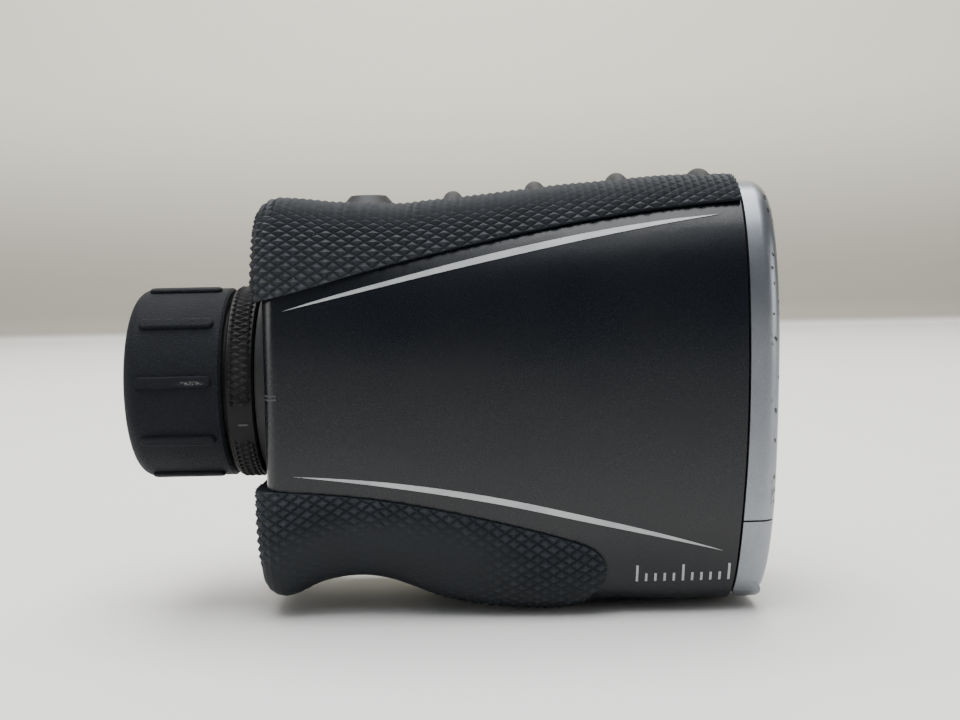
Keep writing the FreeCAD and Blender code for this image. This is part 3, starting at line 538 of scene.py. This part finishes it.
def knurlNet(low):
    # net of points and normals: columns run round the body, rows along it
    skin = Skin(180, 360) if low else Skin(180, 0)
    turn = -1 if low else 1
    rearX = gripBox[0].x
    radius = knurl["rearRadius"]
    centreX = rearX + radius
    step = knurl["columnStep"]
    middle = skin.section((skin.xs[0] + skin.xs[-1]) / 2)
    total = sum((b - a).length for a, b in zip(middle, middle[1:]))
    count = round(total / knurl["rowStep"])
    net = []
    rearLine = evenly(skin.section(centreX), count)
    rearNormals = sideNormals(rearLine, turn)
    turnColumns = math.ceil(radius * math.pi / 2 / step)
    for i in range(turnColumns + knurl["rearColumns"], 0, -1):
        along = i * step
        bend = min(along / radius, math.pi / 2)
        inset = radius * (1 - math.cos(bend)) + max(along - radius * math.pi / 2, 0)
        x = centreX - radius * math.sin(bend)
        column = []
        for p, n in zip(rearLine, rearNormals):
            place = Vector((x, p.y - n.y * inset, p.z - n.z * inset))
            column.append((place, n * math.cos(bend) + Vector((-math.sin(bend), 0, 0))))
        net.append(column)
    columns = math.floor((gripBox[1].x - centreX) / step) + 1
    for i in range(columns + 1):
        line = evenly(skin.section(centreX + i * step), count)
        net.append(list(zip(line, sideNormals(line, turn))))
    return net


def knurlSkin(name, low):
    net = knurlNet(low)
    rng = random.Random(knurl["seed"])
    vertices = []
    worn = []
    base = []
    inside = []
    index = {}
    for i, column in enumerate(net):
        for j, (point, normal) in enumerate(column):
            peak = (i + j) % 2 == 0
            rise = knurlHeight(point, low)
            height = knurl["lift"] + (knurl["height"] * rise if peak else 0.0)
            index[i, j] = len(vertices)
            vertices.append(point + normal * height)
            worn.append(rng.uniform(0.3, 1.0) * rise if peak else 0.0)
            base.append((point, normal))
            inside.append(onGrip(point, normal))
    faces = []

    def crossing(a, b):
        # where the edge from a, on the rubber, to b, off it, passes the rubber's rim
        near, far = 0.0, 1.0
        for trial in range(7):
            t = (near + far) / 2
            if onGrip(base[a][0].lerp(base[b][0], t), base[a][1].lerp(base[b][1], t).normalized()):
                near = t
            else:
                far = t
        vertices.append(vertices[a].lerp(vertices[b], near))
        worn.append(worn[a] * (1 - near) + worn[b] * near)
        base.append((base[a][0].lerp(base[b][0], near), base[a][1].lerp(base[b][1], near).normalized()))
        return len(vertices) - 1

    cuts = {}

    def trimmed(corners):
        kept = []
        for a, b in zip(corners, corners[1:] + corners[:1]):
            if inside[a]:
                kept.append(a)
            if inside[a] != inside[b]:
                key = (a, b) if inside[a] else (b, a)
                if key not in cuts:
                    cuts[key] = crossing(*key)
                kept.append(cuts[key])
        return kept

    for i in range(len(net) - 1):
        for j in range(len(net[0]) - 1):
            a, b, c, d = index[i, j], index[i + 1, j], index[i + 1, j + 1], index[i, j + 1]
            halves = ([a, b, d], [b, c, d]) if (i + j) % 2 == 0 else ([a, b, c], [a, c, d])
            for corners in halves:
                kept = trimmed(corners)
                if len(kept) > 2:
                    faces.append(kept[::-1] if low else kept)
    # a skirt runs round the rim and an inner face, hidden in the rubber, closes the skin
    edges = {}
    for face in faces:
        for a, b in zip(face, face[1:] + face[:1]):
            edges[a, b] = edges.get((a, b), 0) + 1
    lower = {}

    def dropped(k):
        if k not in lower:
            lower[k] = len(vertices)
            vertices.append(base[k][0] - base[k][1] * knurl["skirt"])
            worn.append(0.0)
        return lower[k]

    rim = [[b, a, dropped(a), dropped(b)] for a, b in edges if (b, a) not in edges]
    faces += rim + [[dropped(k) for k in reversed(face)] for face in faces]
    used = sorted({k for face in faces for k in face})
    place = {k: n for n, k in enumerate(used)}
    piece = addPiece(name, [vertices[k] for k in used], [[place[k] for k in face] for face in faces],
                     "grip", "body")
    wear = piece.data.attributes.new("worn", "FLOAT", "POINT")
    for n, k in enumerate(used):
        wear.data[n].value = worn[k]
    print(name, len(faces), "faces")
    return piece


topKnurl = knurlSkin("topKnurl", False)
bottomKnurl = knurlSkin("bottomKnurl", True)


# the diopter ring is a turned band with pyramids round it
ringLook = {"height": 0.40 * mm, "columns": 4, "columnStep": 1.33 * mm, "around": 84, "edge": 0.35 * mm,
            "smoothFrom": -33.0, "smoothTo": -9.0, "dashAngle": -22.0}
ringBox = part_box("diopter_ring")
axisZ = (ringBox[0].z + ringBox[1].z) / 2
ringRadius = (ringBox[1].z - ringBox[0].z) / 2
tubeRadius = 16.0 * mm


def lathe(profile, steps):
    # a closed ring about the eyepiece's axis from (x, radius) points
    vertices = []
    faces = []
    n = len(profile)
    for i in range(steps):
        a = 2 * math.pi * i / steps
        for x, r in profile:
            vertices.append(Vector((x, r * math.cos(a), axisZ + r * math.sin(a))))
    for i in range(steps):
        for k in range(n):
            a, b = i * n + k, i * n + (k + 1) % n
            c, d = ((i + 1) % steps) * n + (k + 1) % n, ((i + 1) % steps) * n + k
            faces.append([a, b, c, d])
    return vertices, faces


def smoothSide(degrees):
    # the plain stretch below the horizontal on the user's right
    turn = (180 - degrees) % 360
    turn = turn - 360 if turn > 180 else turn
    return ringLook["smoothFrom"] < turn < ringLook["smoothTo"]


def pyramidTree():
    # pyramids on points that carry a normal and a share of the length; sizes are inputs
    tree = bpy.data.node_groups.new("pyramidsOnPoints", "GeometryNodeTree")
    face = tree.interface
    face.new_socket("Geometry", in_out="INPUT", socket_type="NodeSocketGeometry")
    names = {"Half Length": 0.001, "Half Width": 0.001, "Height": 0.0005}
    for name, value in names.items():
        face.new_socket(name, in_out="INPUT", socket_type="NodeSocketFloat").default_value = value
    face.new_socket("Material", in_out="INPUT", socket_type="NodeSocketMaterial")
    face.new_socket("Geometry", in_out="OUTPUT", socket_type="NodeSocketGeometry")

    def add(kind, **settings):
        made = tree.nodes.new(kind)
        for setting, value in settings.items():
            setattr(made, setting, value)
        return made

    def link(source, socket, target, place):
        tree.links.new(source.outputs[socket], target.inputs[place])

    given = add("NodeGroupInput")
    result = add("NodeGroupOutput")
    cone = add("GeometryNodeMeshCone", fill_type="NGON")
    cone.inputs["Vertices"].default_value = 4
    cone.inputs["Radius Top"].default_value = 0.0
    cone.inputs["Radius Bottom"].default_value = 1.0
    cone.inputs["Depth"].default_value = 1.0
    scale = add("ShaderNodeCombineXYZ")
    share = add("GeometryNodeInputNamedAttribute", data_type="FLOAT_VECTOR")
    share.inputs["Name"].default_value = "share"
    length = add("ShaderNodeVectorMath", operation="MULTIPLY")
    link(scale, "Vector", length, 0)
    link(share, "Attribute", length, 1)
    link(given, "Half Length", scale, "X")
    link(given, "Half Width", scale, "Y")
    link(given, "Height", scale, "Z")
    normal = add("GeometryNodeInputNamedAttribute", data_type="FLOAT_VECTOR")
    normal.inputs["Name"].default_value = "outward"
    upright = add("FunctionNodeAlignRotationToVector", axis="Z")
    link(normal, "Attribute", upright, "Vector")
    turned = add("FunctionNodeAlignRotationToVector", axis="X", pivot_axis="Z")
    turned.inputs["Vector"].default_value = (1.0, 0.0, 0.0)
    link(upright, "Rotation", turned, "Rotation")
    spread = add("GeometryNodeInstanceOnPoints")
    link(given, "Geometry", spread, "Points")
    link(cone, "Mesh", spread, "Instance")
    link(turned, "Rotation", spread, "Rotation")
    link(length, "Vector", spread, "Scale")
    real = add("GeometryNodeRealizeInstances")
    link(spread, "Instances", real, "Geometry")
    paint = add("GeometryNodeSetMaterial")
    link(real, "Geometry", paint, "Geometry")
    link(given, "Material", paint, "Material")
    link(paint, "Geometry", result, "Geometry")
    return tree


def grown(name, points, normals, shares, tree, values, look, body):
    # runs a tree on loose points and keeps the plain mesh that it makes
    seedMesh = bpy.data.meshes.new(name + "Points")
    seedMesh.from_pydata([tuple(p) for p in points], [], [])
    outward = seedMesh.attributes.new("outward", "FLOAT_VECTOR", "POINT")
    share = seedMesh.attributes.new("share", "FLOAT_VECTOR", "POINT")
    for k, normal in enumerate(normals):
        outward.data[k].vector = normal
        share.data[k].vector = (shares[k], 1.0, 1.0)
    piece = bpy.data.objects.new(name, seedMesh)
    bpy.context.scene.collection.objects.link(piece)
    modifier = piece.modifiers.new("grow", "NODES")
    modifier.node_group = tree
    sockets = {item.name: item.identifier for item in tree.interface.items_tree if item.in_out == "INPUT"}
    for label, value in values.items():
        modifier[sockets[label]] = value
    modifier[sockets["Material"]] = looks[look]
    ready = piece.evaluated_get(bpy.context.evaluated_depsgraph_get())
    mesh = bpy.data.meshes.new_from_object(ready)
    piece.modifiers.remove(modifier)
    piece.data = mesh
    mesh.name = name
    dress(piece, look)
    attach(piece, body)
    return piece


def focusBand():
    low = ringRadius - ringLook["height"]
    edge = ringLook["edge"]
    rear, front = ringBox[0].x, ringBox[1].x
    bore = tubeRadius + 0.05 * mm
    profile = [(front, bore), (front, low - edge), (front - edge, low),
               (rear + edge, low), (rear, low - edge), (rear, bore)]
    vertices, faces = lathe(profile, 180)
    band = addPiece("focusBand", vertices, faces, "ring", "ring", True)
    band.modifiers.new("edges", "EDGE_SPLIT").split_angle = math.radians(30)
    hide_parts("diopter_ring")
    points = []
    normals = []
    shares = []
    step = ringLook["columnStep"]
    last = ringLook["columns"] - 1
    for i in range(last + 1):
        # the outer columns are halved by the edges of the band
        share = 0.5 if i in (0, last) else 1.0
        place = i * step + (step / 4 if i == 0 else -step / 4 if i == last else 0.0)
        for j in range(ringLook["around"]):
            degrees = 360 * (j + 0.5 * (i % 2)) / ringLook["around"]
            if smoothSide(degrees):
                continue
            a = math.radians(degrees)
            outward = Vector((0, math.cos(a), math.sin(a)))
            x = (rear + front - last * step) / 2 + place
            points.append(Vector((x, 0, axisZ)) + outward * (low - 0.02 * mm))
            normals.append(outward)
            shares.append(share)
    studs = grown("focusStuds", points, normals, shares, pyramidTree(),
                  {"Half Length": step, "Half Width": math.pi * low / ringLook["around"],
                   "Height": ringLook["height"]}, "ring", "ring")
    print("focusStuds", len(studs.data.polygons), "faces")


focusBand()


def slab(centre, along, across, outward, size, bevel):
    # a small bevelled bar; size is (length, width, thickness)
    vertices = []
    halves = [s / 2 for s in size]
    for w, inset in ((-1, 0.0), (0.4, 0.0), (1, bevel)):
        for u, v in ((-1, -1), (1, -1), (1, 1), (-1, 1)):
            vertices.append(centre + along * u * (halves[0] - inset) + across * v * (halves[1] - inset)
                            + outward * w * halves[2])
    faces = [[3, 2, 1, 0], [8, 9, 10, 11]]
    for level in (0, 4):
        for k in range(4):
            faces.append([level + k, level + (k + 1) % 4, level + 4 + (k + 1) % 4, level + 4 + k])
    return vertices, faces


def joined(parts):
    vertices = []
    faces = []
    for more, corners in parts:
        start = len(vertices)
        vertices += more
        faces += [[start + k for k in face] for face in corners]
    return vertices, faces


barSection = [(-1, -0.2), (-1, 0.7), (-0.6, 1), (0.6, 1), (1, 0.7), (1, -0.2)]  # shares of half width, height


def strip(spots, width, height):
    # a low bar that follows a surface: spots are points on it with their normals
    vertices = []
    faces = []
    for k, (point, normal) in enumerate(spots):
        ahead = spots[min(k + 1, len(spots) - 1)][0] - spots[max(k - 1, 0)][0]
        across = normal.cross(ahead).normalized()
        for side, level in barSection:
            vertices.append(point + across * side * width / 2 + normal * level * height)
    sides = len(barSection)
    last = sides * (len(spots) - 1)
    for start in range(0, last, sides):
        for n in range(sides):
            a, b = start + n, start + (n + 1) % sides
            faces.append([a, a + sides, b + sides, b])
    faces += [list(range(sides)), [last + n for n in reversed(range(sides))]]
    return vertices, faces


def focusMarks():
    look = {"dash": (1.9 * mm, 0.34 * mm, 0.36 * mm), "lineFrom": -52.75 * mm, "lineTo": -50.3 * mm,
            "lineZ": 43.4 * mm, "lineGap": 0.72 * mm, "lineWidth": 0.36 * mm, "lineHeight": 0.2 * mm}
    a = math.radians(180 - ringLook["dashAngle"])
    outward = Vector((0, math.cos(a), math.sin(a)))
    middle = Vector(((ringBox[0].x + ringBox[1].x) / 2 + 0.4 * mm, 0, axisZ))
    place = middle + outward * (ringRadius - ringLook["height"])
    along = Vector((1, 0, 0))
    dash = addPiece("focusDash", *slab(place, along, outward.cross(along), outward, look["dash"], 0.08 * mm),
                    "dash", "ring")
    bars = []
    for step in (-0.5, 0.5):
        spots = []
        for k in range(7):
            x = look["lineFrom"] + (look["lineTo"] - look["lineFrom"]) * k / 6
            start = Vector((x, sideStart, look["lineZ"] + step * look["lineGap"]))
            hit, normal, face, far = coverTree.ray_cast(start, Vector((0, 1, 0)))
            spots.append((hit, normal))
        bars.append(strip(spots, look["lineWidth"], look["lineHeight"]))
    lines = addPiece("focusLines", *joined(bars), "dash", "body")


focusMarks()


def rangeTicks():
    # a plain row of ruler ticks printed low on the right flank
    look = {"count": 11, "startX": 17.0 * mm, "pitch": 1.75 * mm, "lowZ": 6.8 * mm, "tall": 3.4 * mm,
            "short": 1.7 * mm, "wide": 0.45 * mm, "film": 0.02 * mm}
    bars = []
    for i in range(look["count"]):
        x = look["startX"] + i * look["pitch"]
        tall = look["tall"] if i % 5 == 0 else look["short"]
        spots = []
        for k in range(5):
            start = Vector((x, sideStart, look["lowZ"] + tall * k / 4))
            hit, normal, face, far = coverTree.ray_cast(start, Vector((0, 1, 0)))
            spots.append((hit, normal))
        bars.append(strip(spots, look["wide"], look["film"]))
    ticks = addPiece("rangeTicks", *joined(bars), "mark", "body")


rangeTicks()
print("pieces made")


# the wall's low colour is painted shade, darker at its foot
stageLook = {"floor": rgba(0.86, 0.85, 0.825), "farFloor": rgba(0.16, 0.165, 0.17),
             "wallPaintedShade": rgba(0.365, 0.348, 0.295), "wallHigh": rgba(0.80, 0.765, 0.665),
             "wallY": 1.20, "bend": 0.03, "half": 2.4, "near": -1.6, "height": 2.2}


def backdrop():
    profile = [(stageLook["near"], 0.0)]
    steps = 12
    for i in range(steps + 1):
        a = math.pi / 2 * i / steps
        profile.append((stageLook["wallY"] - stageLook["bend"] * (1 - math.sin(a)),
                        stageLook["bend"] * (1 - math.cos(a))))
    profile.append((stageLook["wallY"], stageLook["height"]))
    vertices = []
    for y, z in profile:
        for side in (-1, 1):
            vertices.append(Vector((side * stageLook["half"], y, z - 0.00002)))
    faces = []
    for k in range(len(profile) - 1):
        a = 2 * k
        faces.append([a, a + 1, a + 3, a + 2])
    mesh = bpy.data.meshes.new("backdrop")
    mesh.from_pydata([tuple(v) for v in vertices], [], faces)
    sweep = bpy.data.objects.new("backdrop", mesh)
    bpy.context.scene.collection.objects.link(sweep)
    for face in mesh.polygons:
        face.use_smooth = True
    shade = Shade("backdropPaper", {"Roughness": 0.6, "Specular IOR Level": 0.3})
    cloud = (shade.noise(3, 2) - 0.5) * 0.08
    # painted shade: the wall is darkened towards its foot and lighter higher up, with a faint random cloud on
    # top
    wall = shade.mix(shade.axis("Z").rise(0.05, 0.30) + cloud, stageLook["wallPaintedShade"], stageLook["wallHigh"])
    floor = shade.mix((shade.axis("Y") * -1.0).rise(0.26, 0.62), stageLook["floor"], stageLook["farFloor"])
    tone = shade.mix(shade.axis("Z").rise(0.0, 0.010), floor, wall)
    mesh.materials.append(shade.feed(Base_Color=tone))


def softLight(name, place, aim, size, power, colour):
    light = bpy.data.lights.new(name, "AREA")
    light.shape = "RECTANGLE"
    light.size = size[0]
    light.size_y = size[1]
    light.energy = power
    light.color = colour
    lamp = bpy.data.objects.new(name, light)
    lamp.location = place
    lamp.rotation_euler = (Vector(aim) - Vector(place)).to_track_quat("-Z", "Y").to_euler()
    bpy.context.scene.collection.objects.link(lamp)


def studio():
    softLight("topSoft", (-0.05, 0.0, 1.15), (0.0, 0.0, 0.0), (1.5, 0.9), 31.0, (0.985, 0.99, 1.0))
    softLight("wallWash", (0.0, 0.55, 1.3), (0.0, 1.2, 0.35), (1.8, 0.5), 9.0, (1.0, 0.965, 0.91))
    softLight("frontFill", (-0.2, -0.85, 1.05), (0.0, -0.05, 0.0), (1.2, 0.4), 2.5, (0.92, 0.96, 1.0))
    # low lights from both ends open up the shadow under the body without showing in its flank
    softLight("lowLeft", (-1.5, -0.35, 0.30), (0.0, 0.0, 0.0), (0.9, 0.5), 5.0, (1.0, 0.98, 0.95))
    softLight("lowRight", (1.5, -0.35, 0.30), (0.0, 0.0, 0.0), (0.9, 0.5), 5.0, (1.0, 0.98, 0.95))
    world = bpy.data.worlds.new("studioAir")
    bpy.context.scene.world = world
    world.use_nodes = True
    air = world.node_tree.nodes["Background"]
    air.inputs["Color"].default_value = rgba(0.80, 0.88, 1.0)
    air.inputs["Strength"].default_value = 0.14


def camera():
    view = {"place": (-12 * mm, -267 * mm, 66 * mm), "down": 3.8, "roll": -1.2, "lens": 49.0}
    lens = bpy.data.cameras.new("mainCamera")
    lens.lens = view["lens"]
    lens.sensor_width = 36.0
    lens.clip_start = 0.01
    eye = bpy.data.objects.new("mainCamera", lens)
    tilt = Matrix.Rotation(math.radians(90 - view["down"]), 4, "X") @ Matrix.Rotation(
        math.radians(view["roll"]), 4, "Z")
    eye.matrix_world = Matrix.Translation(view["place"]) @ tilt
    bpy.context.scene.collection.objects.link(eye)
    bpy.context.scene.camera = eye


backdrop()
studio()
camera()
print("scene ready")
